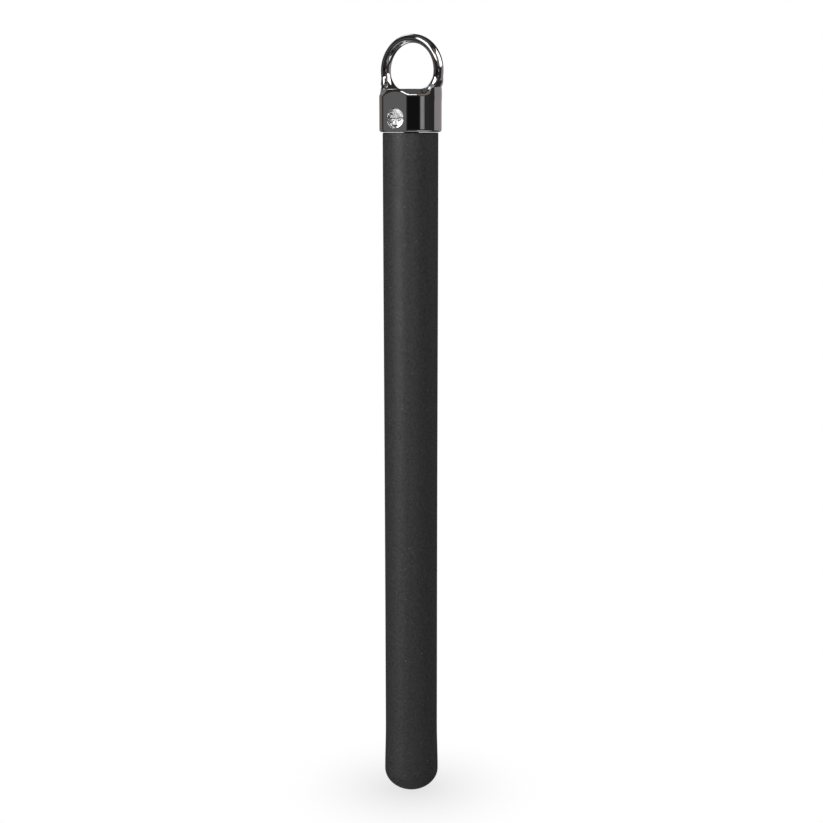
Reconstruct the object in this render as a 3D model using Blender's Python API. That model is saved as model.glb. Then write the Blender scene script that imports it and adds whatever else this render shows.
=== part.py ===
"""Hand stick with a cast ring cap: a soft sleeve over a stiff core, and a screwed-on cap.

Frame: origin at the lowest point of the domed tip, +Z up the stick to the ring,
the eye's axis along Y, and the flat with the stone facing -Y. Metres throughout.
"""
import math

import bmesh
import bpy

# Clearances
GAP = 0.0003                  # between pieces that touch or fit in each other
OVERSHOOT = 0.001             # how far a cutter runs past the face that it opens

# Sleeve: a moulded soft skin with a domed tip
SLEEVE_LENGTH = 0.1243
SLEEVE_DIAMETER = 0.0100      # at its open end, under the cap
WAIST_DROP = 0.0002           # how much thinner it is where it is held, a third of the way up
TIP_SWELL = 0.00012           # how much thicker it is just above the dome
DOME_HEIGHT = 0.0040
DOME_POWER = 1.8              # 2 would be an ellipse, and less is more pointed
SWELL_LENGTH = 0.009
WAIST_SHARE = 0.3             # height of the waist as a share of the length
TIP_WALL = 0.0030             # soft material below the bore
LIP_CHAMFER = 0.00015

# Core: a light tube with a plug at the foot and a threaded bush at the head
CORE_DIAMETER = 0.0070
CORE_BORE = 0.0050
PLUG_DOME = 0.0020
PLUG_HEAD = 0.0040
PLUG_SPIGOT = 0.0060
BUSH_FLANGE = 0.0008
BUSH_LENGTH = 0.0100
THREAD_DIAMETER = 0.0030
STUD_IN_BUSH = 0.0075
STUD_IN_CAP = 0.0050
STUD_CHAMFER = 0.0003

# Ring cap: collar and ring eye cast as one
COLLAR_STEP = 0.00065         # how far the collar's side stands out past the sleeve
COLLAR_HEIGHT = 0.00745
SHOULDER_HEIGHT = 0.00105
SHOULDER_INSET = 0.00085
FOOT_CHAMFER = 0.0004
DRILL_POINT = 0.0006          # depth of the cone at the end of the threaded hole
EYE_RADIUS = 0.0056           # of the ring's centre line
EYE_RISE = 0.0033             # ring centre above the collar's top
EYE_BACK = 0.0005             # ring centre behind the collar's axis
EYE_THICK = 0.00155           # section of the ring, in its plane
EYE_DEEP = 0.00228            # section of the ring, along the eye's axis
EYE_ROOT = 0.0010             # how far the legs run down into the collar
LEG_FLARE_HEIGHT = 0.0021     # above the collar's top, where the legs start to widen
LEG_FOOT_THICK = 0.0030
LEG_FOOT_DEEP = 0.0062
LEG_SIDE_SLOPE = 0.45         # how fast a leg may lean out over the collar's side
LEG_SIDE_INSET = 0.0001

# Stone and the foil cup behind it
STONE_DIAMETER = 0.0035
STONE_HEIGHT = 0.00235        # of its centre above the collar's foot
STONE_TABLE = 0.0017
STONE_CROWN = 0.00100
STONE_GIRDLE = 0.00015
STONE_PAVILION = 0.0012
STONE_PROUD = 0.00085         # table above the flat
CUP_WALL = 0.0002

# Seal ring between cap and core
SEAL_INNER = THREAD_DIAMETER + 2 * GAP
SEAL_SECTION = 0.0007
SEAL_HEIGHT = 0.0008

# Facets
ROUND_STEPS = 56
SMALL_STEPS = 32
STONE_STEPS = 16
EYE_STEPS = 52
EYE_SECTION_STEPS = 20
DOME_STEPS = 9
SMOOTH_ANGLE = math.radians(35)
WELD = 1e-7

# Sizes that follow from the ones above
WAIST_DIAMETER = SLEEVE_DIAMETER - WAIST_DROP
TIP_DIAMETER = SLEEVE_DIAMETER + TIP_SWELL
COLLAR_DIAMETER = SLEEVE_DIAMETER + 2 * COLLAR_STEP
FLATS_WIDTH = SLEEVE_DIAMETER     # the two milled flats lie flush with the sleeve
COLLAR_FOOT = SLEEVE_LENGTH + GAP
COLLAR_TOP = COLLAR_FOOT + COLLAR_HEIGHT
BORE_RADIUS = CORE_DIAMETER / 2 + GAP
THREAD_HOLE = THREAD_DIAMETER / 2 + GAP


def clear_scene():
    for thing in list(bpy.data.objects):
        bpy.data.objects.remove(thing, do_unlink=True)


def material(name, colour, roughness, metallic=0.0, transmission=0.0):
    new = bpy.data.materials.new(name)
    new.use_nodes = True
    shader = new.node_tree.nodes["Principled BSDF"]
    shader.inputs["Base Color"].default_value = (*colour, 1.0)
    shader.inputs["Roughness"].default_value = roughness
    shader.inputs["Metallic"].default_value = metallic
    shader.inputs["Transmission Weight"].default_value = transmission
    new.diffuse_color = (*colour, 1.0)
    return new


def finish_mesh(name, bm, finish, smooth=True):
    """Turn a bmesh into a named object with its faces out and round parts shaded smooth."""
    bmesh.ops.remove_doubles(bm, verts=bm.verts, dist=WELD)
    bmesh.ops.dissolve_degenerate(bm, edges=bm.edges, dist=WELD)
    bmesh.ops.recalc_face_normals(bm, faces=bm.faces)
    mesh = bpy.data.meshes.new(name)
    bm.to_mesh(mesh)
    bm.free()
    if smooth:
        mesh.shade_smooth()
        mesh.set_sharp_from_angle(angle=SMOOTH_ANGLE)
    if finish:
        mesh.materials.append(finish)
    thing = bpy.data.objects.new(name, mesh)
    bpy.context.scene.collection.objects.link(thing)
    return thing


def turned(name, outline, finish, steps=ROUND_STEPS, smooth=True):
    """A closed body of revolution about Z from (radius, height) points."""
    bm = bmesh.new()
    points = [bm.verts.new((radius, 0, height)) for radius, height in outline]
    edges = [bm.edges.new(pair) for pair in zip(points, points[1:])]
    if outline[0][0] > 0:
        edges.append(bm.edges.new((points[-1], points[0])))
    bmesh.ops.spin(
        bm, geom=points + edges, cent=(0, 0, 0), axis=(0, 0, 1),
        angle=2 * math.pi, steps=steps, use_merge=True, use_normal_flip=False)
    return finish_mesh(name, bm, finish, smooth)


def smooth_step(share):
    share = min(max(share, 0.0), 1.0)
    return share * share * (3 - 2 * share)


def blend(start, end, share):
    return start + (end - start) * share


def boolean(target, cutter, operation):
    """Join or cut target with cutter, which becomes a hidden guide."""
    cutter.hide_render = True
    cutter.display_type = "WIRE"
    step = target.modifiers.new(operation.lower() + "_" + cutter.name, "BOOLEAN")
    step.operation = operation
    step.object = cutter
    step.solver = "EXACT"


def sleeve_radius(height):
    """Outer radius above the dome: a swell at the tip, a waist, and the open end."""
    waist_height = WAIST_SHARE * SLEEVE_LENGTH
    rise = smooth_step((height - waist_height) / (SLEEVE_LENGTH - waist_height))
    radius = blend(WAIST_DIAMETER, SLEEVE_DIAMETER, rise) / 2
    fade = 1 - smooth_step((height - DOME_HEIGHT) / SWELL_LENGTH)
    return radius + fade * (TIP_DIAMETER - WAIST_DIAMETER) / 2


def domed_end(radius, base, height, power):
    """Points from the axis at the base, round to full radius at base + height."""
    points = []
    for step in range(DOME_STEPS + 1):
        turn = step / DOME_STEPS * math.pi / 2
        share = math.sin(turn) ** (2 / power)
        drop = math.cos(turn) ** (2 / power)
        points.append((radius * share, base + height * (1 - drop)))
    points[0] = (0.0, base)
    points[-1] = (radius, base + height)
    return points


def make_sleeve():
    finish = material("soft_black_sleeve", (0.022, 0.022, 0.023), 0.55)
    outline = domed_end(TIP_DIAMETER / 2, 0.0, DOME_HEIGHT, DOME_POWER)
    swell_steps = 4
    for step in range(1, swell_steps + 1):
        height = DOME_HEIGHT + SWELL_LENGTH * step / swell_steps
        outline.append((sleeve_radius(height), height))
    body_steps = 6
    body_start = DOME_HEIGHT + SWELL_LENGTH
    body_end = SLEEVE_LENGTH - LIP_CHAMFER
    for step in range(1, body_steps + 1):
        height = blend(body_start, body_end, step / body_steps)
        outline.append((sleeve_radius(height), height))
    outline.append((SLEEVE_DIAMETER / 2 - LIP_CHAMFER, SLEEVE_LENGTH))
    outline.append((BORE_RADIUS, SLEEVE_LENGTH))
    outline += reversed(domed_end(BORE_RADIUS, TIP_WALL, PLUG_DOME + GAP, 2))
    return turned("grip_sleeve", outline, finish)


def make_tip_plug():
    finish = material("natural_nylon", (0.62, 0.60, 0.55), 0.45)
    base = TIP_WALL + GAP
    shoulder = base + PLUG_HEAD
    spigot = CORE_BORE / 2 - GAP
    outline = domed_end(CORE_DIAMETER / 2, base, PLUG_DOME, 2)
    outline += [(CORE_DIAMETER / 2, shoulder), (spigot, shoulder)]
    outline += [(spigot, shoulder + PLUG_SPIGOT), (0, shoulder + PLUG_SPIGOT)]
    return turned("tip_plug", outline, finish, SMALL_STEPS)


def make_core_tube():
    finish = material("drawn_aluminium", (0.55, 0.56, 0.57), 0.35, 1.0)
    foot = TIP_WALL + GAP + PLUG_HEAD + GAP
    head = SLEEVE_LENGTH - BUSH_FLANGE - GAP
    outer = CORE_DIAMETER / 2
    inner = CORE_BORE / 2
    outline = [(outer, foot), (outer, head), (inner, head), (inner, foot)]
    return turned("core_tube", outline, finish, SMALL_STEPS)


def make_threaded_bush():
    finish = material("turned_brass", (0.58, 0.42, 0.18), 0.3, 1.0)
    flange = CORE_DIAMETER / 2
    body = CORE_BORE / 2 - GAP
    under = SLEEVE_LENGTH - BUSH_FLANGE
    foot = under - BUSH_LENGTH
    outline = [(body, foot), (body, under), (flange, under), (flange, SLEEVE_LENGTH)]
    outline += [(THREAD_HOLE, SLEEVE_LENGTH), (THREAD_HOLE, foot)]
    return turned("threaded_bush", outline, finish, SMALL_STEPS)


def make_threaded_stud():
    finish = material("zinc_plated_steel", (0.5, 0.5, 0.49), 0.35, 1.0)
    low = SLEEVE_LENGTH - STUD_IN_BUSH
    high = COLLAR_FOOT + STUD_IN_CAP
    radius = THREAD_DIAMETER / 2
    end = radius - STUD_CHAMFER
    outline = [(0, low), (end, low), (radius, low + STUD_CHAMFER)]
    outline += [(radius, high - STUD_CHAMFER), (end, high), (0, high)]
    return turned("threaded_stud", outline, finish, SMALL_STEPS)


def make_seal_ring():
    finish = material("black_nitrile", (0.015, 0.015, 0.015), 0.6)
    inner = SEAL_INNER / 2
    outer = inner + SEAL_SECTION
    foot = COLLAR_FOOT
    outline = [(outer, foot), (outer, foot + SEAL_HEIGHT)]
    outline += [(inner, foot + SEAL_HEIGHT), (inner, foot)]
    return turned("seal_ring", outline, finish, SMALL_STEPS)


def leg_reach(height):
    """Farthest that a leg may stand from the stick's axis, so it blends into the collar."""
    side = COLLAR_DIAMETER / 2 - LEG_SIDE_INSET
    return side + max(0.0, height - COLLAR_TOP) * LEG_SIDE_SLOPE


def ring_section(turn, centre_height):
    """One oval section of the ring, wider where the legs flare onto the collar."""
    height = centre_height + EYE_RADIUS * math.cos(turn)
    flare = 1 - smooth_step((height - COLLAR_TOP) / LEG_FLARE_HEIGHT)
    thick = blend(EYE_THICK, LEG_FOOT_THICK, flare) / 2
    deep = blend(EYE_DEEP, LEG_FOOT_DEEP, flare) / 2
    points = []
    for step in range(EYE_SECTION_STEPS):
        around = step / EYE_SECTION_STEPS * 2 * math.pi
        out = EYE_RADIUS + thick * math.cos(around)
        x = out * math.sin(turn)
        y = EYE_BACK + deep * math.sin(around)
        z = centre_height + out * math.cos(turn)
        reach = leg_reach(z)
        away = math.hypot(x, y)
        if away > reach:
            x *= reach / away
            y *= reach / away
        points.append((x, y, z))
    return points


def make_ring_blank():
    """The ring and its legs, a bent bar that runs down into the collar."""
    bm = bmesh.new()
    centre_height = COLLAR_TOP + EYE_RISE
    last_turn = math.acos(-(EYE_RISE + EYE_ROOT) / EYE_RADIUS)
    rings = []
    for step in range(EYE_STEPS + 1):
        turn = blend(-last_turn, last_turn, step / EYE_STEPS)
        rings.append([bm.verts.new(point) for point in ring_section(turn, centre_height)])
    for ring, following in zip(rings, rings[1:]):
        for side in range(EYE_SECTION_STEPS):
            after = (side + 1) % EYE_SECTION_STEPS
            bm.faces.new((ring[side], ring[after], following[after], following[side]))
    bm.faces.new(rings[0])
    bm.faces.new(rings[-1])
    return finish_mesh("ring_blank", bm, None)


def flat_cutter(name, side):
    """A block that mills one flat; side is -1 for the front and 1 for the back."""
    bm = bmesh.new()
    bmesh.ops.create_cube(bm, size=1.0)
    depth = COLLAR_DIAMETER
    low = COLLAR_FOOT - OVERSHOOT
    high = COLLAR_TOP
    centre = side * (FLATS_WIDTH + depth) / 2
    for vert in bm.verts:
        vert.co.x *= 2 * COLLAR_DIAMETER
        vert.co.y = vert.co.y * depth + centre
        vert.co.z = vert.co.z * (high - low) + (high + low) / 2
    return finish_mesh(name, bm, None, smooth=False)


def stone_slope():
    """Fall of the pavilion per metre of radius."""
    return STONE_PAVILION / (STONE_DIAMETER / 2)


def cone_tip(layers):
    """Depth of a cone's tip behind the flat, for a cone this far behind the stone's own."""
    girdle_low = STONE_PROUD - STONE_CROWN - STONE_GIRDLE
    along_axis = layers * math.hypot(1, stone_slope())
    return girdle_low - STONE_PAVILION - along_axis


def make_seat_cutter():
    """The drilled seat: a short round hole that ends in a cone, square to the flat."""
    tip = cone_tip(2 * GAP + CUP_WALL)
    radius = STONE_DIAMETER / 2 + GAP
    outline = [(0, tip), (radius, tip + radius * stone_slope())]
    outline += [(radius, OVERSHOOT), (0, OVERSHOOT)]
    cutter = turned("seat_cutter", outline, None, SMALL_STEPS)
    place_on_flat(cutter)
    return cutter


def place_on_flat(thing):
    """Stand a piece that was turned about Z square on the front flat."""
    thing.location = (0, -FLATS_WIDTH / 2, COLLAR_FOOT + STONE_HEIGHT)
    thing.rotation_euler = (math.pi / 2, 0, 0)


def make_ring_cap():
    finish = material("polished_chrome", (0.62, 0.62, 0.64), 0.06, 1.0)
    outer = COLLAR_DIAMETER / 2
    seal_seat = SEAL_INNER / 2 + SEAL_SECTION + GAP
    seal_roof = COLLAR_FOOT + SEAL_HEIGHT + GAP
    hole_end = COLLAR_FOOT + STUD_IN_CAP + GAP
    outline = [(0, COLLAR_TOP), (outer - SHOULDER_INSET, COLLAR_TOP)]
    outline += [(outer, COLLAR_TOP - SHOULDER_HEIGHT), (outer, COLLAR_FOOT + FOOT_CHAMFER)]
    outline += [(outer - FOOT_CHAMFER, COLLAR_FOOT), (seal_seat, COLLAR_FOOT)]
    outline += [(seal_seat, seal_roof), (THREAD_HOLE, seal_roof)]
    outline += [(THREAD_HOLE, hole_end), (0, hole_end + DRILL_POINT)]
    cap = turned("ring_cap", outline, finish)
    boolean(cap, flat_cutter("front_flat_cutter", -1), "DIFFERENCE")
    boolean(cap, flat_cutter("back_flat_cutter", 1), "DIFFERENCE")
    boolean(cap, make_ring_blank(), "UNION")
    boolean(cap, make_seat_cutter(), "DIFFERENCE")
    return cap


def make_stone():
    finish = material("clear_crystal", (0.95, 0.96, 0.98), 0.02, 0.0, 1.0)
    radius = STONE_DIAMETER / 2
    crown_foot = STONE_PROUD - STONE_CROWN
    girdle_foot = crown_foot - STONE_GIRDLE
    outline = [(0, STONE_PROUD), (STONE_TABLE / 2, STONE_PROUD), (radius, crown_foot)]
    outline += [(radius, girdle_foot), (0, girdle_foot - STONE_PAVILION)]
    stone = turned("stone", outline, finish, STONE_STEPS, smooth=False)
    place_on_flat(stone)
    return stone


def make_stone_cup():
    finish = material("foil_cup", (0.75, 0.75, 0.76), 0.2, 1.0)
    radius = STONE_DIAMETER / 2
    front = cone_tip(GAP)
    back = cone_tip(GAP + CUP_WALL)
    lip = radius * stone_slope()
    outline = [(0, front), (radius, front + lip), (radius, back + lip), (0, back)]
    cup = turned("stone_cup", outline, finish, STONE_STEPS)
    place_on_flat(cup)
    return cup


def main():
    clear_scene()
    make_sleeve()
    make_tip_plug()
    make_core_tube()
    make_threaded_bush()
    make_threaded_stud()
    make_seal_ring()
    cap = make_ring_cap()
    thread_axis = bpy.data.objects.new("cap_thread_axis", None)
    thread_axis.empty_display_size = COLLAR_DIAMETER
    bpy.context.scene.collection.objects.link(thread_axis)
    for piece in (cap, make_stone(), make_stone_cup()):
        piece.parent = thread_axis


main()
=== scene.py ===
"""Looks of the ring-topped stick: studio, soft sleeve, cast chrome cap, set stone and inner pieces."""
import math

import bmesh
import bpy
import numpy as np
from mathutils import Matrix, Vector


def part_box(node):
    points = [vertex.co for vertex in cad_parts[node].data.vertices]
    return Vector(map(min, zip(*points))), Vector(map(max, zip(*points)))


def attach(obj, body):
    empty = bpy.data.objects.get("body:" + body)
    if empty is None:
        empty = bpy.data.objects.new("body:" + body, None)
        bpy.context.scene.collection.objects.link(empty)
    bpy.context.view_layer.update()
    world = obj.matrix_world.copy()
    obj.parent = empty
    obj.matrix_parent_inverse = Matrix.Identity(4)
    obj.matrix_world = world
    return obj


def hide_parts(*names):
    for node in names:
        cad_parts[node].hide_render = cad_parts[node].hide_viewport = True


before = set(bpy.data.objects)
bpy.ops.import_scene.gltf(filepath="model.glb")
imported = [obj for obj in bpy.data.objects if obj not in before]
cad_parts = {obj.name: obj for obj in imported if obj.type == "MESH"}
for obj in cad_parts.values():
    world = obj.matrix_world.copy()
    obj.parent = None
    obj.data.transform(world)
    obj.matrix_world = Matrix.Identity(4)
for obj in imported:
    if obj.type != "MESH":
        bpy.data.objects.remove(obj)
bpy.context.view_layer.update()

# ---------------------------------------------------------------------------
# Camera: a long lens level with the foot of the cap, looking a little down at
# the middle of the stick, from the right of the stone's flat.
# ---------------------------------------------------------------------------
CAMERA_TURN = math.radians(33)
CAMERA_PITCH = math.radians(-10.13)
CAMERA_ROLL = math.radians(0.08)
CAMERA_AWAY = 0.2858
CAMERA_HEIGHT = 0.12473
CAMERA_ASIDE = 0.00018

lens = bpy.data.cameras.new("studio_camera")
lens.lens = 68.66
lens.sensor_width = 36
lens.clip_start = 0.01
camera = bpy.data.objects.new("studio_camera", lens)
bpy.context.scene.collection.objects.link(camera)
camera.rotation_euler = (math.pi / 2 + CAMERA_PITCH, CAMERA_ROLL, CAMERA_TURN)
camera.location = (
    CAMERA_AWAY * math.sin(CAMERA_TURN) + CAMERA_ASIDE * math.cos(CAMERA_TURN),
    -CAMERA_AWAY * math.cos(CAMERA_TURN) + CAMERA_ASIDE * math.sin(CAMERA_TURN),
    CAMERA_HEIGHT,
)
bpy.context.scene.camera = camera

# ---------------------------------------------------------------------------
# Studio: a pale table that runs out to a white surround, and soft panels all
# round that the chrome mirrors. Each panel is a soft-edged patch of sky.
# ---------------------------------------------------------------------------
bpy.context.scene.view_settings.view_transform = "Standard"


def group_tree(name, inputs, outputs):
    """An empty shader node group with named inputs and outputs."""
    tree = bpy.data.node_groups.new(name, "ShaderNodeTree")
    for label, kind, value in inputs:
        socket = tree.interface.new_socket(label, in_out="INPUT", socket_type=kind)
        if value is not None:
            socket.default_value = value
    for label, kind in outputs:
        tree.interface.new_socket(label, in_out="OUTPUT", socket_type=kind)
    return tree, tree.nodes.new("NodeGroupInput"), tree.nodes.new("NodeGroupOutput")


def sums(tree, operation, first, second):
    """A Math node; each of its two terms is a number or a socket."""
    node = tree.nodes.new("ShaderNodeMath")
    node.operation = operation
    for slot, term in zip(node.inputs, (first, second)):
        if isinstance(term, (int, float)):
            slot.default_value = term
        else:
            tree.links.new(term, slot)
    return node.outputs["Value"]


def ramp_up(tree, value, low, high):
    """0 below low, 1 above high and smooth between; low and high are numbers or sockets."""
    node = tree.nodes.new("ShaderNodeMapRange")
    node.interpolation_type = "SMOOTHSTEP"
    for label, term in (("Value", value), ("From Min", low), ("From Max", high)):
        if isinstance(term, (int, float)):
            node.inputs[label].default_value = term
        else:
            tree.links.new(term, node.inputs[label])
    return node.outputs["Result"]


def make_panel_group():
    """Mask of one studio panel, from the direction's bearing and height in degrees."""
    inputs = [("Bearing", "NodeSocketFloat", 0.0), ("Height", "NodeSocketFloat", 0.0)]
    inputs += [("Centre", "NodeSocketFloat", 0.0), ("Half Width", "NodeSocketFloat", 10.0)]
    inputs += [("Low", "NodeSocketFloat", -10.0), ("High", "NodeSocketFloat", 10.0)]
    inputs += [("Softness", "NodeSocketFloat", 2.0)]
    tree, given, result = group_tree("studio_panel", inputs, [("Mask", "NodeSocketFloat")])
    away = sums(tree, "SUBTRACT", given.outputs["Bearing"], given.outputs["Centre"])
    turned = sums(tree, "WRAP", away, 180.0)
    turned.node.inputs[2].default_value = -180.0
    off = sums(tree, "ABSOLUTE", turned, 0.0)
    soft = given.outputs["Softness"]
    half = given.outputs["Half Width"]
    beyond = ramp_up(tree, off, sums(tree, "SUBTRACT", half, soft), sums(tree, "ADD", half, soft))
    across = sums(tree, "SUBTRACT", 1.0, beyond)
    height = given.outputs["Height"]
    low, high = given.outputs["Low"], given.outputs["High"]
    above = ramp_up(tree, height, sums(tree, "SUBTRACT", low, soft), sums(tree, "ADD", low, soft))
    over = ramp_up(tree, height, sums(tree, "SUBTRACT", high, soft), sums(tree, "ADD", high, soft))
    upright = sums(tree, "MULTIPLY", above, sums(tree, "SUBTRACT", 1.0, over))
    tree.links.new(sums(tree, "MULTIPLY", across, upright), result.inputs["Mask"])
    return tree


# Bearing is in degrees from straight ahead of the stone's flat towards +X, and the
# camera stands at 33. Each panel: bearing, half width, low, high, softness, colour,
# power. A later panel covers an earlier one, and below 0 they stand for the table.
DARK = (0.030, 0.029, 0.030)
PANELS = {
    "zenith": (0, 181, 66, 95, 2.0, (1.0, 1.0, 1.0), 0.11),
    "front_wall": (-50, 62, 6, 66, 4.0, (1.0, 0.82, 0.70), 0.036),
    "left_wall": (-110, 20, 6, 30, 4.0, (1.0, 0.93, 0.88), 0.24),
    "right_wall": (84, 24, 12, 56, 4.0, (1.0, 0.82, 0.66), 0.25),
    "table_near": (0, 181, -95, -55, 12.0, (1.0, 1.0, 1.0), 0.62),
    "table_right": (95, 34, -50, -27, 3.0, (1.0, 0.98, 0.98), 0.55),
    "table_rear_left": (-148, 16, -64, -36, 3.0, (1.0, 1.0, 1.0), 1.1),
    "key_low": (15, 43, 22, 38, 1.5, (1.0, 1.0, 1.0), 2.4),
    "key_high": (-3, 27, 36, 64, 1.5, (1.0, 1.0, 1.0), 2.4),
    "rear_right": (128, 23, 9, 44, 1.5, (1.0, 1.0, 1.0), 2.4),
    "rear_left": (-128, 10, 30, 48, 1.5, (1.0, 1.0, 1.0), 2.0),
    "back_sweep": (180, 48, -16, 10, 1.5, (1.0, 0.92, 0.93), 0.33),
    "back_left": (-112, 15, -16, 12, 1.5, (1.0, 0.88, 0.80), 0.19),
    "left_card": (-42, 23, -14, 2.8, 1.2, (0.98, 0.98, 1.0), 0.155),
    "front_dark": (34, 31, -6, 2.0, 0.6, (1.0, 1.0, 1.0), 0.008),
    "right_strip": (78, 8, -3, 4, 1.0, (1.0, 1.0, 1.0), 0.33),
    "right_glow": (96, 10, -3, 4, 6.0, (1.0, 1.0, 1.0), 0.035),
}


def make_surround():
    """A world that is white to the camera and gives the panels to everything else."""
    world = bpy.data.worlds.new("studio")
    bpy.context.scene.world = world
    world.use_nodes = True
    tree = world.node_tree
    tree.nodes.clear()
    direction = tree.nodes.new("ShaderNodeTexCoord").outputs["Generated"]
    parts = tree.nodes.new("ShaderNodeSeparateXYZ")
    tree.links.new(direction, parts.inputs[0])
    ahead = sums(tree, "MULTIPLY", parts.outputs["Y"], -1.0)
    bearing = sums(tree, "DEGREES", sums(tree, "ARCTAN2", parts.outputs["X"], ahead), 0.0)
    height = sums(tree, "DEGREES", sums(tree, "ARCSINE", parts.outputs["Z"], 0.0), 0.0)
    panel = make_panel_group()
    colour = None
    for name, (centre, half, low, high, soft, tint, power) in PANELS.items():
        mask = tree.nodes.new("ShaderNodeGroup")
        mask.node_tree = panel
        mask.label = name
        tree.links.new(bearing, mask.inputs["Bearing"])
        tree.links.new(height, mask.inputs["Height"])
        for label, value in zip(("Centre", "Half Width", "Low", "High", "Softness"),
                                (centre, half, low, high, soft)):
            mask.inputs[label].default_value = value
        layer = tree.nodes.new("ShaderNodeMix")
        layer.data_type = "RGBA"
        tree.links.new(mask.outputs["Mask"], layer.inputs["Factor"])
        if colour is None:
            layer.inputs["A"].default_value = (*DARK, 1)
        else:
            tree.links.new(colour, layer.inputs["A"])
        layer.inputs["B"].default_value = (*(power * channel for channel in tint), 1)
        colour = layer.outputs["Result"]
    lit = tree.nodes.new("ShaderNodeBackground")
    tree.links.new(colour, lit.inputs["Color"])
    white = tree.nodes.new("ShaderNodeBackground")
    white.inputs["Color"].default_value = (1, 1, 1, 1)
    rays = tree.nodes.new("ShaderNodeLightPath")
    pick = tree.nodes.new("ShaderNodeMixShader")
    tree.links.new(rays.outputs["Is Camera Ray"], pick.inputs["Fac"])
    tree.links.new(lit.outputs[0], pick.inputs[1])
    tree.links.new(white.outputs[0], pick.inputs[2])
    output = tree.nodes.new("ShaderNodeOutputWorld")
    tree.links.new(pick.outputs[0], output.inputs["Surface"])


make_surround()

TABLE_REACH = 3.0
SHADE_REACH = 0.027
SHADE_DEPTH = 0.27


def make_table():
    """White table top that glows evenly, but for a painted shadow round the foot.

    The chrome sees the panels in its place."""
    bpy.ops.mesh.primitive_circle_add(vertices=96, radius=TABLE_REACH, fill_type="NGON")
    table = bpy.context.object
    table.name = "table_top"
    paint = bpy.data.materials.new("table_paint")
    paint.use_nodes = True
    tree = paint.node_tree
    shader = tree.nodes["Principled BSDF"]
    shader.inputs["Base Color"].default_value = (0, 0, 0, 1)
    shader.inputs["Specular IOR Level"].default_value = 0.0
    shader.inputs["Emission Color"].default_value = (1, 1, 1, 1)
    place = tree.nodes.new("ShaderNodeTexCoord")
    reach = tree.nodes.new("ShaderNodeVectorMath")
    reach.operation = "LENGTH"
    tree.links.new(place.outputs["Object"], reach.inputs[0])
    # Painted shadow: the glow is darkened by up to SHADE_DEPTH within SHADE_REACH of the foot.
    near = sums(tree, "SUBTRACT", 1.0, sums(tree, "DIVIDE", reach.outputs["Value"], SHADE_REACH))
    near = sums(tree, "MAXIMUM", near, 0.0)
    shade = sums(tree, "MULTIPLY", sums(tree, "POWER", near, 2.0), SHADE_DEPTH)
    tree.links.new(sums(tree, "SUBTRACT", 1.0, shade), shader.inputs["Emission Strength"])
    table.data.materials.append(paint)
    table.visible_glossy = False
    table.visible_diffuse = False


make_table()

LAMP_AIM = 0.08


def soft_light(name, bearing, height, away, width, tall, power):
    """A rectangular lamp that faces the middle of the stick."""
    lamp = bpy.data.lights.new(name, "AREA")
    lamp.shape = "RECTANGLE"
    lamp.size = width
    lamp.size_y = tall
    lamp.energy = power
    holder = bpy.data.objects.new(name, lamp)
    bpy.context.scene.collection.objects.link(holder)
    turn, rise = math.radians(bearing), math.radians(height)
    flat = away * math.cos(rise)
    up = LAMP_AIM + away * math.sin(rise)
    holder.location = (flat * math.sin(turn), -flat * math.cos(turn), up)
    holder.rotation_euler = (math.pi / 2 - rise, 0, turn)
    return holder


# The last three light the sleeve alone: the chrome has the panels.
overhead = soft_light("overhead", 20, 80, 0.8, 0.5, 0.5, 3.0)
overhead.visible_glossy = False
side_key = soft_light("side_key", -19, 8, 0.8, 0.2, 0.5, 5.2)
front_fill = soft_light("front_fill", 42, 10, 0.9, 0.3, 0.4, 1.5)
rear_fill = soft_light("rear_fill", -150, 12, 0.9, 0.3, 0.4, 2.6)

# ---------------------------------------------------------------------------
# Grip sleeve: one soft-touch moulding, closed and domed at the tip, pulled over
# the core from below. Matte black with a fine grain, and dust that clings to it.
# ---------------------------------------------------------------------------
SLEEVE_SIDES = 128
DOME_HEIGHT = 0.0040
DOME_POWER = 1.95
SWELL_LENGTH = 0.009
WAIST_RADIUS = 0.0049
WAIST_SHARE = 0.3
BORE_RADIUS = 0.0038
BORE_FLOOR = 0.0030
BORE_DOME = 0.0023
LIP_ROUND = 0.00018
LIP_LIFT = 0.00017     # the soft lip swells up towards the cap, for a thin joint line


def deselect_all():
    for thing in bpy.context.selected_objects:
        thing.select_set(False)


def turned(name, outline, sides):
    """A turned piece: a ring is extruded up the outline of (radius, height) points.

    An outline that starts or ends at radius 0 closes there at a point; one that
    comes back to its first point closes as a tube."""
    deselect_all()
    start = 1 if outline[0][0] == 0 else 0
    radius, height = outline[start]
    bpy.ops.mesh.primitive_circle_add(vertices=sides, radius=radius, location=(0, 0, height))
    piece = bpy.context.object
    piece.name = name
    bpy.ops.object.transform_apply(location=True)
    bpy.ops.object.mode_set(mode="EDIT")
    bpy.ops.mesh.select_all(action="SELECT")
    if start:
        bpy.ops.mesh.extrude_edges_move()
        bpy.ops.transform.translate(value=(0, 0, outline[0][1] - height))
        bpy.ops.mesh.merge(type="CENTER")
        bpy.ops.mesh.select_all(action="DESELECT")
        mesh = bmesh.from_edit_mesh(piece.data)
        for edge in mesh.edges:
            edge.select_set(edge.is_boundary)
        bmesh.update_edit_mesh(piece.data)
    for out, up in outline[start + 1:]:
        bpy.ops.mesh.extrude_edges_move()
        bpy.ops.transform.translate(value=(0, 0, up - height))
        if out == 0:
            bpy.ops.mesh.merge(type="CENTER")
            break
        bpy.ops.transform.resize(value=(out / radius, out / radius, 1), center_override=(0, 0, up))
        radius, height = out, up
    bpy.ops.mesh.select_all(action="SELECT")
    bpy.ops.mesh.remove_doubles(threshold=1e-6)
    bpy.ops.mesh.normals_make_consistent(inside=False)
    bpy.ops.object.mode_set(mode="OBJECT")
    bpy.ops.object.shade_smooth_by_angle(angle=math.radians(40))
    return piece


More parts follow.
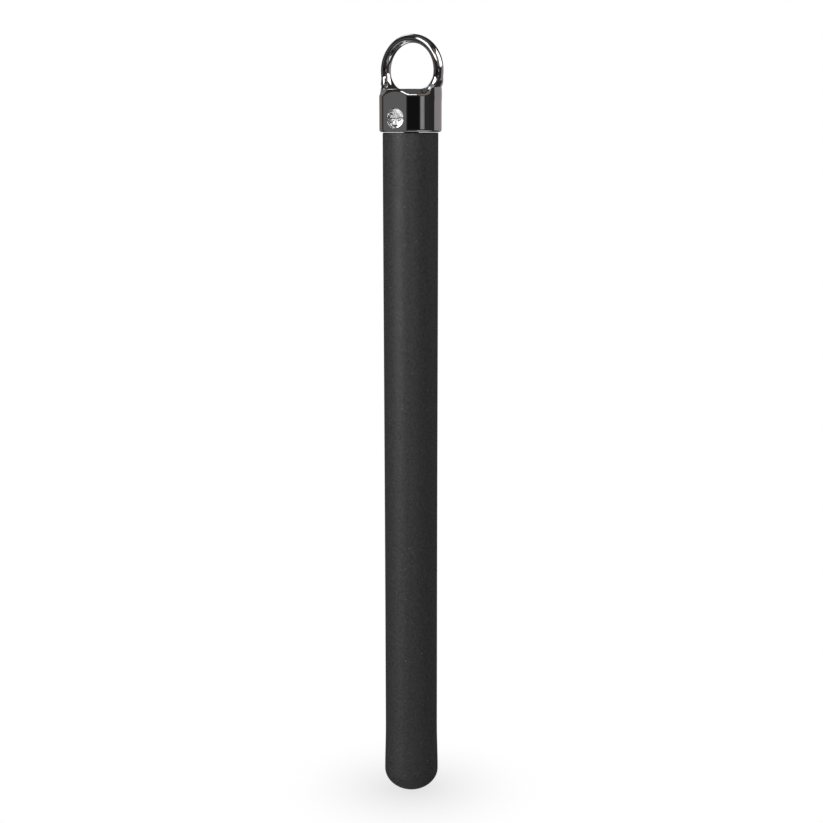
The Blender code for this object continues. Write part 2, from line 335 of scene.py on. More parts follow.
def ease(share):
    """0 below 0, 1 above 1 and smooth between; for a number or an array."""
    share = np.clip(share, 0, 1)
    return share * share * (3 - 2 * share)


def domed(radius, base, height, power, steps):
    """Outline points from the axis up round a dome to its full radius."""
    points = []
    for step in range(steps + 1):
        turn = step / steps * math.pi / 2
        out = radius * math.sin(turn) ** (2 / power)
        up = base + height * (1 - math.cos(turn) ** (2 / power))
        points.append((out, up))
    points[0] = (0, base)
    return points


def sleeve_outline():
    """From the tip up the slightly waisted side, over the round lip and down the bore."""
    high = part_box("grip_sleeve")[1]
    length = high.z + LIP_LIFT
    tip_radius = high.x
    top_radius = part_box("ring_cap")[1].y
    points = domed(tip_radius, 0.0, DOME_HEIGHT, DOME_POWER, 28)
    steps = 40     # the rings lie closer together near the tip
    for step in range(1, steps + 1):
        up = DOME_HEIGHT + (length - LIP_ROUND - DOME_HEIGHT) * (step / steps) ** 1.6
        rise = ease((up / length - WAIST_SHARE) / (1 - WAIST_SHARE))
        fade = 1 - ease((up - DOME_HEIGHT) / SWELL_LENGTH)
        body = WAIST_RADIUS + (top_radius - WAIST_RADIUS) * rise
        points.append((body + fade * (tip_radius - WAIST_RADIUS), up))
    for step in range(1, 6):
        turn = step / 5 * math.pi / 2
        out = top_radius - LIP_ROUND * (1 - math.cos(turn))
        points.append((out, length - LIP_ROUND * (1 - math.sin(turn))))
    points.append((BORE_RADIUS, length))
    inner = domed(BORE_RADIUS, BORE_FLOOR, BORE_DOME, 2, 8)
    return points + inner[::-1]


sleeve = turned("soft_sleeve", sleeve_outline(), SLEEVE_SIDES)


def new_material(name, colour, roughness, metallic=0.0):
    material = bpy.data.materials.new(name)
    material.use_nodes = True
    shader = material.node_tree.nodes["Principled BSDF"]
    shader.inputs["Base Color"].default_value = (*colour, 1)
    shader.inputs["Roughness"].default_value = roughness
    shader.inputs["Metallic"].default_value = metallic
    return material, material.node_tree, shader


def make_grain_group():
    """Fine moulded grain, soft blotches and specks of dust, from a piece's own coordinates."""
    inputs = [("Vector", "NodeSocketVector", None), ("Grain Scale", "NodeSocketFloat", 4000.0)]
    inputs += [("Blotch Scale", "NodeSocketFloat", 300.0), ("Speck Scale", "NodeSocketFloat", 2200.0)]
    outputs = [("Grain", "NodeSocketFloat"), ("Blotch", "NodeSocketFloat"), ("Speck", "NodeSocketFloat")]
    tree, given, result = group_tree("fine_grain", inputs, outputs)
    for label, scale, detail in (("Grain", "Grain Scale", 3.0), ("Blotch", "Blotch Scale", 4.0)):
        noise = tree.nodes.new("ShaderNodeTexNoise")
        noise.inputs["Detail"].default_value = detail
        tree.links.new(given.outputs["Vector"], noise.inputs["Vector"])
        tree.links.new(given.outputs[scale], noise.inputs["Scale"])
        tree.links.new(noise.outputs["Fac"], result.inputs[label])
    cells = tree.nodes.new("ShaderNodeTexVoronoi")
    cells.inputs["Randomness"].default_value = 1.0
    tree.links.new(given.outputs["Vector"], cells.inputs["Vector"])
    tree.links.new(given.outputs["Speck Scale"], cells.inputs["Scale"])
    near = sums(tree, "SUBTRACT", 1.0, ramp_up(tree, cells.outputs["Distance"], 0.06, 0.22))
    pick = tree.nodes.new("ShaderNodeSeparateColor")
    tree.links.new(cells.outputs["Color"], pick.inputs[0])
    rare = ramp_up(tree, pick.outputs[0], 0.86, 0.98)
    tree.links.new(sums(tree, "MULTIPLY", near, rare), result.inputs["Speck"])
    return tree


fine_grain = make_grain_group()


def place_grain(tree, grain_scale, blotch_scale, speck_scale):
    """The grain group on the piece's own coordinates."""
    node = tree.nodes.new("ShaderNodeGroup")
    node.node_tree = fine_grain
    place = tree.nodes.new("ShaderNodeTexCoord")
    tree.links.new(place.outputs["Object"], node.inputs["Vector"])
    node.inputs["Grain Scale"].default_value = grain_scale
    node.inputs["Blotch Scale"].default_value = blotch_scale
    node.inputs["Speck Scale"].default_value = speck_scale
    return node


def blend_colour(tree, factor, first, second):
    """Mix of two colours; each is three numbers or a socket."""
    node = tree.nodes.new("ShaderNodeMix")
    node.data_type = "RGBA"
    tree.links.new(factor, node.inputs["Factor"])
    for label, term in (("A", first), ("B", second)):
        if isinstance(term, tuple):
            node.inputs[label].default_value = (*term, 1)
        else:
            tree.links.new(term, node.inputs[label])
    return node.outputs["Result"]


def span(tree, value, low, high):
    """value from 0..1 stretched to low..high."""
    return sums(tree, "ADD", sums(tree, "MULTIPLY", value, high - low), low)


def add_bump(tree, shader, height, distance, strength=1.0):
    bump = tree.nodes.new("ShaderNodeBump")
    bump.inputs["Distance"].default_value = distance
    bump.inputs["Strength"].default_value = strength
    tree.links.new(height, bump.inputs["Height"])
    tree.links.new(bump.outputs["Normal"], shader.inputs["Normal"])


rubber, tree, shader = new_material("soft_touch_black", (0.02, 0.02, 0.021), 0.55)
grain = place_grain(tree, 2600.0, 260.0, 1700.0)
tone = blend_colour(tree, grain.outputs["Grain"], (0.0, 0.0, 0.0), (0.041, 0.0400, 0.0425))
dusty = blend_colour(tree, grain.outputs["Speck"], tone, (0.12, 0.118, 0.115))
tree.links.new(dusty, shader.inputs["Base Color"])
edge_on = tree.nodes.new("ShaderNodeLayerWeight")
edge_on.inputs["Blend"].default_value = 0.4
softer = sums(tree, "MULTIPLY", edge_on.outputs["Facing"], 0.4)
matte = sums(tree, "ADD", span(tree, grain.outputs["Blotch"], 0.44, 0.6), softer)
tree.links.new(matte, shader.inputs["Roughness"])
add_bump(tree, shader, grain.outputs["Grain"], 0.00006, 0.8)
shader.inputs["Specular IOR Level"].default_value = 0.35
sleeve.data.materials.append(rubber)
lamp_lit = bpy.data.collections.new("lit_by_side_key")
lamp_lit.objects.link(sleeve)
for lamp in (side_key, front_fill, rear_fill):
    lamp.light_linking.receiver_collection = lamp_lit
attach(sleeve, "stick")
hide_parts("grip_sleeve")

# ---------------------------------------------------------------------------
# Ring cap: collar and ring eye cast in one from zinc, the flats milled, then all
# of it polished and chrome plated. The legs run into the collar in soft fillets.
# ---------------------------------------------------------------------------
MILLIMETRE = 0.001

# Sizes of the form, in millimetres.
COLLAR_RADIUS = 5.62
FLAT_HALF = 5.0
EYE_RADIUS = 5.6
EYE_RISE = 3.3
EYE_BACK = 0.5
EYE_HALF_THICK = 0.775
EYE_HALF_DEEP = 1.14
SHOULDER_RUN = 0.85
SHOULDER_DROP = 1.05
FOOT_BEVEL = 0.27
FOOT_LOWER = 0.06        # the foot comes down to the lip, for a thin joint line
EDGE_ROUND = 0.16
FLAT_EDGE_ROUND = 0.112
LEG_FILLET = 0.9
SKIN_GRID = 0.105
LEG_FLARE_LOW = -1.2
LEG_FLARE_HIGH = 2.5
LEG_OUT = 0.3
LEG_HALF_THICK = 1.25
LEG_HALF_DEEP = 2.6
LEG_SLOPE = 0.5
LEG_SLOPE_FROM = 0.3

# Sizes of what is cut into it, and of the stone that the seat takes, in metres.
THREAD_PITCH = 0.0005
THREAD_CREST = 0.0015
THREAD_ROOT = 0.00121
THREAD_PLAY = 0.00005
THREAD_STEEP = 1.6
THREAD_BLUNT = 0.3
THREAD_BEYOND = 0.0017   # past the crest, so a row with this radius is all thread
THREAD_COLUMNS = 48
THREAD_ROWS = 14
SEAL_SEAT_RADIUS = 0.0028
SEAL_ROOF = 0.00115
HOLE_DEEP = 0.0053
DRILL_TIP = 0.0006
CUT_PAST = 0.001
FLAT_FACE = FLAT_HALF * MILLIMETRE
STONE_HEIGHT = 0.00235
STONE_PROUD = 0.00085
STONE_CROWN = 0.00100
STONE_GIRDLE = 0.00015
STONE_PAVILION = 0.0012
STONE_RADIUS = 0.00167
STONE_TIP = STONE_PROUD - STONE_CROWN - STONE_GIRDLE - STONE_PAVILION
SEAT_RADIUS = 0.00175
SEAT_BEVEL = 0.00003
SEAT_BEHIND = 0.0003
SEAT_SLOPE = STONE_PAVILION / STONE_RADIUS

cap_low, cap_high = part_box("ring_cap")
collar_foot = cap_low.z / MILLIMETRE - FOOT_LOWER
collar_top = cap_high.z / MILLIMETRE - EYE_RADIUS - EYE_RISE - EYE_HALF_THICK


def take(thing):
    """Make thing the only selected and active object."""
    deselect_all()
    thing.select_set(True)
    bpy.context.view_layer.objects.active = thing


def apply_modifiers(thing):
    take(thing)
    for step in list(thing.modifiers):
        bpy.ops.object.modifier_apply(modifier=step.name)


def soft_min(a, b, reach):
    """Union of two distances with a fillet that starts where they differ by reach."""
    share = np.clip(0.5 + 0.5 * (b - a) / reach, 0, 1)
    return b + (a - b) * share - reach * share * (1 - share)


def soft_max(a, b, reach):
    return -soft_min(-a, -b, reach)


def cap_distance(place):
    """Signed distance in millimetres from the cast and polished skin."""
    x, y, z = place.T
    away = np.hypot(x, y)
    up = z - collar_top
    slope = math.hypot(SHOULDER_RUN, SHOULDER_DROP)
    shoulder = ((away - COLLAR_RADIUS) * SHOULDER_DROP + (up + SHOULDER_DROP) * SHOULDER_RUN) / slope
    foot = (away - COLLAR_RADIUS + (collar_foot + FOOT_BEVEL - z)) / math.sqrt(2)
    collar = soft_max(away - COLLAR_RADIUS, shoulder, EDGE_ROUND)
    collar = soft_max(collar, up, EDGE_ROUND)
    collar = soft_max(collar, foot, EDGE_ROUND)
    collar = soft_max(collar, collar_foot - z, EDGE_ROUND)
    flare = 1 - ease((up - LEG_FLARE_LOW) / (LEG_FLARE_HIGH - LEG_FLARE_LOW))
    thick = EYE_HALF_THICK + (LEG_HALF_THICK - EYE_HALF_THICK) * flare
    deep = EYE_HALF_DEEP + (LEG_HALF_DEEP - EYE_HALF_DEEP) * flare
    eye_out = np.hypot(x, up - EYE_RISE) - EYE_RADIUS - LEG_OUT * flare
    eye_side = y - EYE_BACK
    near = np.sqrt((eye_out / thick) ** 2 + (eye_side / deep) ** 2) + 1e-9
    steep = np.sqrt((eye_out / thick ** 2) ** 2 + (eye_side / deep ** 2) ** 2) + 1e-9
    eye = near * (near - 1) / steep
    body = soft_min(collar, eye, LEG_FILLET)
    side = away - COLLAR_RADIUS - np.maximum(up - LEG_SLOPE_FROM, 0) * LEG_SLOPE
    body = soft_max(body, side, EDGE_ROUND)
    return soft_max(body, np.abs(y) - FLAT_HALF, FLAT_EDGE_ROUND)


def draw_onto_form(thing, distance, passes=8):
    """Move every vertex along the form's own slope until it lies on the form.

    No pass moves a vertex further than the reach, in millimetres."""
    count = len(thing.data.vertices)
    flat = np.empty(count * 3)
    thing.data.vertices.foreach_get("co", flat)
    place = flat.reshape(-1, 3)
    step = 1e-3
    reach = 0.3
    for _ in range(passes):
        value = distance(place)
        slope = np.empty_like(place)
        for axis in range(3):
            ahead = place.copy()
            back = place.copy()
            ahead[:, axis] += step
            back[:, axis] -= step
            slope[:, axis] = (distance(ahead) - distance(back)) / (2 * step)
        size = np.maximum((slope ** 2).sum(axis=1), 0.2)
        move = np.clip(value / size, -reach, reach)
        place -= slope * move[:, None]
    thing.data.vertices.foreach_set("co", place.ravel())
    thing.data.update()


deselect_all()
bpy.ops.mesh.primitive_cylinder_add(
    vertices=96, radius=COLLAR_RADIUS, depth=collar_top - collar_foot,
    location=(0, 0, (collar_top + collar_foot) / 2))
cap = bpy.context.object
cap.name = "chrome_ring_cap"
bpy.ops.mesh.primitive_torus_add(
    major_radius=EYE_RADIUS, minor_radius=EYE_HALF_DEEP, major_segments=96, minor_segments=32,
    location=(0, EYE_BACK, collar_top + EYE_RISE), rotation=(math.pi / 2, 0, 0))
eye_blank = bpy.context.object
cap.select_set(True)
bpy.context.view_layer.objects.active = cap
bpy.ops.object.join()
bpy.ops.object.transform_apply(location=True, rotation=True, scale=True)
skin = cap.modifiers.new("skin", "REMESH")
skin.mode = "VOXEL"
skin.voxel_size = SKIN_GRID
skin.adaptivity = 0
apply_modifiers(cap)
draw_onto_form(cap, cap_distance)
for _ in range(3):
    even = cap.modifiers.new("even", "SMOOTH")
    even.factor = 0.5
    even.iterations = 3
    apply_modifiers(cap)
    draw_onto_form(cap, cap_distance, 4)
take(cap)
bpy.ops.transform.resize(value=(MILLIMETRE,) * 3, center_override=(0, 0, 0))
bpy.ops.object.transform_apply(location=True, rotation=True, scale=True)


def thread_radius(turn, height, grow):
    """Radius of a right-hand V thread with blunt crest and root, at a turn and a height."""
    share = (height / THREAD_PITCH - turn / (2 * math.pi)) % 1.0
    wave = np.clip(THREAD_STEEP * np.abs(2 * share - 1) - THREAD_BLUNT, 0, 1)
    return THREAD_ROOT + (THREAD_CREST - THREAD_ROOT) * wave + grow


def wrapped(name, rows, columns):
    """A grid wrapped round Z. Each row is (radius, height, grow): grow is None where
    the row is plain and otherwise threads the row, never beyond the row's radius."""
    deselect_all()
    bpy.ops.mesh.primitive_grid_add(x_subdivisions=columns, y_subdivisions=len(rows) - 1)
    piece = bpy.context.object
    piece.name = name
    place = np.empty(len(piece.data.vertices) * 3)
    piece.data.vertices.foreach_get("co", place)
    place = place.reshape(-1, 3)
    turn = (place[:, 0] + 1) * math.pi
    row = np.rint((place[:, 1] + 1) / 2 * (len(rows) - 1)).astype(int)
    limit = np.array([entry[0] for entry in rows])[row]
    height = np.array([entry[1] for entry in rows])[row]
    grow = np.array([np.inf if entry[2] is None else entry[2] for entry in rows])[row]
    radius = np.minimum(limit, thread_radius(turn, height, grow))
    place = np.column_stack((radius * np.cos(turn), radius * np.sin(turn), height))
    piece.data.vertices.foreach_set("co", place.ravel())
    piece.data.update()
    bpy.ops.object.mode_set(mode="EDIT")
    bpy.ops.mesh.select_all(action="SELECT")
    bpy.ops.mesh.remove_doubles(threshold=1e-6)
    bpy.ops.mesh.normals_make_consistent(inside=False)
    bpy.ops.object.mode_set(mode="OBJECT")
    bpy.ops.object.shade_smooth_by_angle(angle=math.radians(50))
    return piece


def threaded_rows(low, high, limit, grow, bevel_low, bevel_high):
    """Rows of a thread from low to high, with each end bevelled by the amount given."""
    count = round((high - low) / THREAD_PITCH * THREAD_ROWS)
    rows = []
    for step in range(count + 1):
        height = low + (high - low) * step / count
        ends = min(height - low - bevel_low, high - height - bevel_high, 0.0)
        rows.append((limit + ends, height, grow))
    return rows


def cut(target, cutter):
    """Cut one piece out of another, and remove the cutter."""
    step = target.modifiers.new("cut_" + cutter.name, "BOOLEAN")
    step.operation = "DIFFERENCE"
    step.object = cutter
    step.solver = "EXACT"
    apply_modifiers(target)
    bpy.data.objects.remove(cutter, do_unlink=True)


def stand_on_flat(thing):
    """Turn a piece made about Z to face out of the front flat, at the stone's centre."""
    take(thing)
    bpy.ops.transform.rotate(value=-math.pi / 2, orient_axis="X", center_override=(0, 0, 0))
    bpy.ops.transform.translate(value=(0, -FLAT_FACE, cap_low.z + STONE_HEIGHT))
    bpy.ops.object.transform_apply(location=True, rotation=True)


roof = cap_low.z + SEAL_ROOF
hole_end = cap_low.z + HOLE_DEEP
hole_rows = [(0, cap_low.z - CUT_PAST, None), (SEAL_SEAT_RADIUS, cap_low.z - CUT_PAST, None)]
hole_rows += [(SEAL_SEAT_RADIUS, roof, None), (THREAD_CREST + THREAD_PLAY, roof, None)]
hole_rows += threaded_rows(roof, hole_end, THREAD_BEYOND, THREAD_PLAY, 0, 0)
hole_rows += [(0, hole_end + DRILL_TIP, None)]
cut(cap, wrapped("tapped_hole", hole_rows, THREAD_COLUMNS))

seat_deep = STONE_TIP - SEAT_BEHIND
seat_mouth = SEAT_RADIUS + 2 * SEAT_BEVEL
seat_outline = [(0, seat_deep), (SEAT_RADIUS, seat_deep + SEAT_RADIUS * SEAT_SLOPE)]
seat_outline += [(SEAT_RADIUS, -SEAT_BEVEL), (seat_mouth, SEAT_BEVEL)]
seat_outline += [(seat_mouth, CUT_PAST), (0, CUT_PAST)]
seat = turned("stone_seat", seat_outline, 64)
stand_on_flat(seat)
cut(cap, seat)
take(cap)
bpy.ops.object.shade_smooth_by_angle(angle=math.radians(55))


def form_slope(place):
    """Unit normals of the cap's form at places in millimetres."""
    slope = np.empty_like(place)
    for axis in range(3):
        step = np.zeros(3)
        step[axis] = 1e-3
        slope[:, axis] = cap_distance(place + step) - cap_distance(place - step)
    return slope / np.maximum(np.linalg.norm(slope, axis=1, keepdims=True), 1e-9)


def polish(thing):
    """Give the skin the form's own normals, so that it mirrors without waves."""
    mesh = thing.data
    place = np.array([vert.co for vert in mesh.vertices]) / MILLIMETRE
    on_skin = np.abs(cap_distance(place)) < 2e-3     # the rest is inside a drilled hole
    normals = form_slope(place)
    corners = np.zeros((len(mesh.loops), 3))
    for face in mesh.polygons:
        ids = list(face.vertices)
        if on_skin[ids].all() and (normals[ids] @ np.array(face.normal)).min() > 0.5:
            corners[face.loop_indices] = normals[ids]
    mesh.normals_split_custom_set(corners)


polish(cap)

chrome, tree, shader = new_material("polished_chrome", (0.63, 0.63, 0.64), 0.05, 1.0)
grain = place_grain(tree, 1100.0, 420.0, 1700.0)
smears = span(tree, grain.outputs["Blotch"], 0.005, 0.07)
marked = sums(tree, "MULTIPLY", grain.outputs["Speck"], 0.22)
tree.links.new(sums(tree, "ADD", smears, marked), shader.inputs["Roughness"])
film = blend_colour(tree, grain.outputs["Blotch"], (0.60, 0.60, 0.61), (0.655, 0.65, 0.655))
tree.links.new(film, shader.inputs["Base Color"])
add_bump(tree, shader, grain.outputs["Grain"], 0.000004, 0.5)
cap.data.materials.append(chrome)
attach(cap, "cap")
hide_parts("ring_cap")

# ---------------------------------------------------------------------------
# Stone: a round brilliant pressed from clear glass, glued into its drilled seat on
# the front flat. Table and crown stand clear of the flat so that they catch light.
# ---------------------------------------------------------------------------
TABLE_RADIUS = 0.00098
STAR_RADIUS = 0.00128
STAR_DROP = 0.00030
CULET_RADIUS = 0.00005
BREAK_RADIUS = 0.30 * STONE_RADIUS
BREAK_DROP = 0.72 * STONE_PAVILION
STONE_TWIST = math.radians(14)


def brilliant():
    """Points of a round brilliant about Z, table up, with the flat at height 0."""
    points = []
    girdle_top = STONE_PROUD - STONE_CROWN
    girdle_low = girdle_top - STONE_GIRDLE
    for step in range(8):
        turn = step * math.pi / 4 + STONE_TWIST
        half = turn + math.pi / 8
        points.append((TABLE_RADIUS, turn, STONE_PROUD))
        points.append((STAR_RADIUS, half, STONE_PROUD - STAR_DROP))
        points.append((CULET_RADIUS, half, STONE_TIP))
        points.append((BREAK_RADIUS, half, girdle_low - BREAK_DROP))
    for step in range(32):
        turn = step * math.pi / 16 + STONE_TWIST
        points.append((STONE_RADIUS, turn, girdle_top))
        points.append((STONE_RADIUS, turn, girdle_low))
    return [(out * math.cos(turn), out * math.sin(turn), up) for out, turn, up in points]


# A ball gives up its own points for the stone's, which their hull then closes.
deselect_all()
bpy.ops.mesh.primitive_ico_sphere_add(subdivisions=1, radius=1)
stone = bpy.context.object
stone.name = "brilliant_stone"
bpy.ops.object.mode_set(mode="EDIT")
mesh = bmesh.from_edit_mesh(stone.data)
bmesh.ops.delete(mesh, geom=list(mesh.verts), context="VERTS")
for point in brilliant():
    mesh.verts.new(point)
bmesh.update_edit_mesh(stone.data)
bpy.ops.mesh.select_all(action="SELECT")
bpy.ops.mesh.convex_hull()
bpy.ops.mesh.dissolve_limited(angle_limit=math.radians(0.5))
bpy.ops.object.mode_set(mode="OBJECT")
stand_on_flat(stone)

glass, tree, shader = new_material("clear_crystal", (1.0, 1.0, 1.0), 0.0)
shader.inputs["Transmission Weight"].default_value = 1.0
shader.inputs["IOR"].default_value = 1.62
grain = place_grain(tree, 2600.0, 700.0, 2500.0)
tree.links.new(span(tree, grain.outputs["Blotch"], 0.0, 0.004), shader.inputs["Roughness"])
stone.data.materials.append(glass)
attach(stone, "cap")
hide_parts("stone")

# ---------------------------------------------------------------------------
# Foil cup: thin silvered foil pressed to the stone's cone. It lies behind the stone
# in the drilled seat and sends the light back through it.
# ---------------------------------------------------------------------------
CUP_BEHIND = 0.00004
CUP_THICK = 0.00015
CUP_RIM = 0.00173
CUP_EDGE = 0.00002
cup_front = STONE_TIP - CUP_BEHIND
cup_back = cup_front - CUP_THICK
cup_outline = [(0, cup_back), (CUP_RIM - CUP_EDGE, cup_back + CUP_RIM * SEAT_SLOPE)]
cup_outline += [(CUP_RIM, cup_front + CUP_RIM * SEAT_SLOPE), (0, cup_front)]
cup = turned("foil_cup", cup_outline, 48)
stand_on_flat(cup)
foil, tree, shader = new_material("silver_foil", (0.5, 0.5, 0.51), 0.05, 1.0)
grain = place_grain(tree, 3000.0, 900.0, 2500.0)
tree.links.new(span(tree, grain.outputs["Blotch"], 0.02, 0.08), shader.inputs["Roughness"])
add_bump(tree, shader, grain.outputs["Grain"], 0.00002, 0.4)
cup.data.materials.append(foil)
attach(cup, "cap")
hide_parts("stone_cup")

# ---------------------------------------------------------------------------
# Seal ring: a nitrile ring round the stud, level with the cap's foot in a seat under
# it. Its section is a square with well rounded corners.
# ---------------------------------------------------------------------------
SEAL_INNER = 0.0018
SEAL_STEPS = 20
SEAL_ROUNDNESS = 0.7     # 1 would be round, and less is squarer
seal_low, seal_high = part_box("seal_ring")
seal_points = []
for step in range(SEAL_STEPS):
    turn = step / SEAL_STEPS * 2 * math.pi
    out = math.copysign(abs(math.cos(turn)) ** SEAL_ROUNDNESS, math.cos(turn))
    up = math.copysign(abs(math.sin(turn)) ** SEAL_ROUNDNESS, math.sin(turn))
    seal_points.append(((SEAL_INNER + seal_high.x) / 2 + out * (seal_high.x - SEAL_INNER) / 2,
                        (seal_low.z + seal_high.z) / 2 + up * (seal_high.z - seal_low.z) / 2))
seal_points.append(seal_points[0])
seal = turned("nitrile_ring", seal_points, 64)
nitrile, tree, shader = new_material("nitrile_black", (0.015, 0.015, 0.015), 0.5)
grain = place_grain(tree, 6000.0, 900.0, 2500.0)
dusty = blend_colour(tree, grain.outputs["Speck"], (0.014, 0.014, 0.014), (0.07, 0.07, 0.07))
tree.links.new(dusty, shader.inputs["Base Color"])
tree.links.new(span(tree, grain.outputs["Blotch"], 0.4, 0.62), shader.inputs["Roughness"])
add_bump(tree, shader, grain.outputs["Grain"], 0.00002, 0.5)
seal.data.materials.append(nitrile)
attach(seal, "seal")
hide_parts("seal_ring")

# ---------------------------------------------------------------------------
# Threaded stud: zinc-plated steel, its thread cut full length and both ends bevelled.
# It is locked in the bush and the cap turns on it.
# ---------------------------------------------------------------------------
STUD_BEVEL = 0.0003
stud_low, stud_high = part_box("threaded_stud")
stud_rows = [(0, stud_low.z, None)]
stud_rows += threaded_rows(stud_low.z, stud_high.z, THREAD_CREST, 0.0, STUD_BEVEL, STUD_BEVEL)
stud_rows += [(0, stud_high.z, None)]
stud = wrapped("steel_stud", stud_rows, THREAD_COLUMNS)
zinc, tree, shader = new_material("zinc_plated_steel", (0.56, 0.57, 0.57), 0.3, 1.0)
grain = place_grain(tree, 3000.0, 700.0, 2000.0)
tone = blend_colour(tree, grain.outputs["Blotch"], (0.44, 0.45, 0.46), (0.62, 0.62, 0.60))
tree.links.new(tone, shader.inputs["Base Color"])
tree.links.new(span(tree, grain.outputs["Grain"], 0.2, 0.42), shader.inputs["Roughness"])
add_bump(tree, shader, grain.outputs["Grain"], 0.00001, 0.5)
stud.data.materials.append(zinc)
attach(stud, "stick")
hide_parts("threaded_stud")

# ---------------------------------------------------------------------------
# Threaded bush: turned brass, tapped right through. It is fixed in the head of the
# core, with four grooves round its body for the glue and a flange that stops it.
# ---------------------------------------------------------------------------
BUSH_FLANGE = 0.0008
BUSH_BODY = 0.0022
BUSH_EDGE = 0.00015
BUSH_MOUTH = 0.00175
BUSH_MOUTH_DROP = 0.0002
GROOVES = 4
GROOVE_PITCH = 0.0018
GROOVE_SINK = 0.00015
GROOVE_FLOOR = 0.0002     # half its width at the floor
GROOVE_TOP = 0.0003       # half its width at the top
bush_low, bush_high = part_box("threaded_bush")
flange = bush_high.x
flange_foot = bush_high.z - BUSH_FLANGE
bush_rows = [(BUSH_BODY - BUSH_EDGE, bush_low.z, None), (BUSH_BODY, bush_low.z + BUSH_EDGE, None)]
for groove in range(1, GROOVES + 1):
    middle = bush_low.z + groove * GROOVE_PITCH
    bush_rows += [(BUSH_BODY, middle - GROOVE_TOP, None)]
    bush_rows += [(BUSH_BODY - GROOVE_SINK, middle - GROOVE_FLOOR, None)]
    bush_rows += [(BUSH_BODY - GROOVE_SINK, middle + GROOVE_FLOOR, None)]
    bush_rows += [(BUSH_BODY, middle + GROOVE_TOP, None)]
bush_rows += [(BUSH_BODY, flange_foot, None), (flange - BUSH_EDGE, flange_foot, None)]
bush_rows += [(flange, flange_foot + BUSH_EDGE, None), (flange, bush_high.z - BUSH_EDGE, None)]
bush_rows += [(flange - BUSH_EDGE, bush_high.z, None), (BUSH_MOUTH, bush_high.z, None)]
inside = threaded_rows(bush_low.z, bush_high.z - BUSH_MOUTH_DROP, THREAD_BEYOND, THREAD_PLAY, 0, 0)
bush_rows += inside[::-1]
bush_rows.append(bush_rows[0])
bush = wrapped("brass_bush", bush_rows, THREAD_COLUMNS)
brass, tree, shader = new_material("turned_brass", (0.60, 0.43, 0.19), 0.28, 1.0)
grain = place_grain(tree, 2600.0, 420.0, 2000.0)
tone = blend_colour(tree, grain.outputs["Blotch"], (0.46, 0.31, 0.13), (0.68, 0.50, 0.24))
tree.links.new(tone, shader.inputs["Base Color"])
tree.links.new(span(tree, grain.outputs["Grain"], 0.18, 0.42), shader.inputs["Roughness"])
rings = tree.nodes.new("ShaderNodeTexWave")
rings.wave_type = "RINGS"
rings.rings_direction = "Z"
rings.inputs["Scale"].default_value = 3200.0
rings.inputs["Distortion"].default_value = 0.6
place = tree.nodes.new("ShaderNodeTexCoord")
tree.links.new(place.outputs["Object"], rings.inputs["Vector"])
add_bump(tree, shader, rings.outputs["Fac"], 0.000008, 0.5)
bush.data.materials.append(brass)
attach(bush, "stick")
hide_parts("threaded_bush")

# ---------------------------------------------------------------------------
# Core tube: drawn aluminium that keeps the soft sleeve straight. Its ends are
# deburred, and fine lines run along its length.
# ---------------------------------------------------------------------------
TUBE_EDGE = 0.00012
TUBE_INNER = 0.0025
tube_low, tube_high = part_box("core_tube")
tube_outer = tube_high.x
tube_outline = [(TUBE_INNER + TUBE_EDGE, tube_low.z), (tube_outer - TUBE_EDGE, tube_low.z)]
tube_outline += [(tube_outer, tube_low.z + TUBE_EDGE), (tube_outer, tube_high.z - TUBE_EDGE)]
tube_outline += [(tube_outer - TUBE_EDGE, tube_high.z), (TUBE_INNER + TUBE_EDGE, tube_high.z)]
tube_outline += [(TUBE_INNER, tube_high.z - TUBE_EDGE), (TUBE_INNER, tube_low.z + TUBE_EDGE)]
tube_outline.append(tube_outline[0])
tube = turned("drawn_tube", tube_outline, 96)
alloy, tree, shader = new_material("drawn_aluminium", (0.62, 0.63, 0.64), 0.32, 1.0)
grain = place_grain(tree, 3000.0, 300.0, 1500.0)
place = tree.nodes.new("ShaderNodeTexCoord")
stretch = tree.nodes.new("ShaderNodeMapping")
stretch.inputs["Scale"].default_value = (1.0, 1.0, 0.02)
tree.links.new(place.outputs["Object"], stretch.inputs["Vector"])
lines = tree.nodes.new("ShaderNodeTexNoise")
lines.inputs["Scale"].default_value = 9000.0
lines.inputs["Detail"].default_value = 2.0
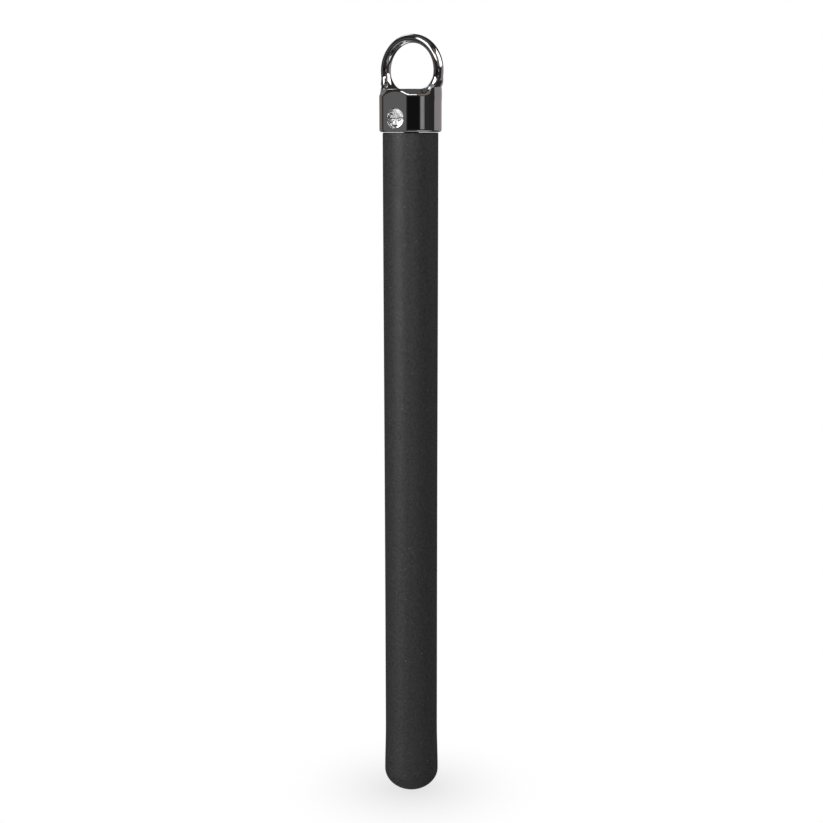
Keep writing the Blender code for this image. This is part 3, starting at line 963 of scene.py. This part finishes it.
tree.links.new(stretch.outputs["Vector"], lines.inputs["Vector"])
tone = blend_colour(tree, lines.outputs["Fac"], (0.52, 0.53, 0.54), (0.70, 0.71, 0.72))
tree.links.new(tone, shader.inputs["Base Color"])
tree.links.new(span(tree, grain.outputs["Blotch"], 0.24, 0.42), shader.inputs["Roughness"])
add_bump(tree, shader, lines.outputs["Fac"], 0.00001, 0.5)
tube.data.materials.append(alloy)
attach(tube, "stick")
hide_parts("core_tube")

# ---------------------------------------------------------------------------
# Tip plug: moulded from natural nylon, with its spigot pressed into the foot of the
# core. Its round end keeps the tube's edge off the soft tip.
# ---------------------------------------------------------------------------
PLUG_DOME = 0.0020
PLUG_SPIGOT = 0.0060
PLUG_SPIGOT_RADIUS = 0.0022
PLUG_EDGE = 0.0002
plug_low, plug_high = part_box("tip_plug")
plug_radius = plug_high.x
plug_step = plug_high.z - PLUG_SPIGOT
plug_outline = domed(plug_radius, plug_low.z, PLUG_DOME, 2, 14)
plug_outline += [(plug_radius, plug_step - PLUG_EDGE), (plug_radius - PLUG_EDGE, plug_step)]
plug_outline += [(PLUG_SPIGOT_RADIUS, plug_step), (PLUG_SPIGOT_RADIUS, plug_high.z - PLUG_EDGE)]
plug_outline += [(PLUG_SPIGOT_RADIUS - PLUG_EDGE, plug_high.z), (0, plug_high.z)]
plug = turned("nylon_plug", plug_outline, 64)
nylon, tree, shader = new_material("natural_nylon", (0.62, 0.60, 0.54), 0.45)
grain = place_grain(tree, 3500.0, 500.0, 1500.0)
tone = blend_colour(tree, grain.outputs["Blotch"], (0.56, 0.53, 0.46), (0.68, 0.66, 0.60))
tree.links.new(tone, shader.inputs["Base Color"])
tree.links.new(span(tree, grain.outputs["Grain"], 0.36, 0.56), shader.inputs["Roughness"])
add_bump(tree, shader, grain.outputs["Grain"], 0.00002, 0.4)
shader.inputs["Subsurface Weight"].default_value = 0.15
shader.inputs["Subsurface Radius"].default_value = (0.0006, 0.0005, 0.0004)
plug.data.materials.append(nylon)
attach(plug, "stick")
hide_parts("tip_plug")
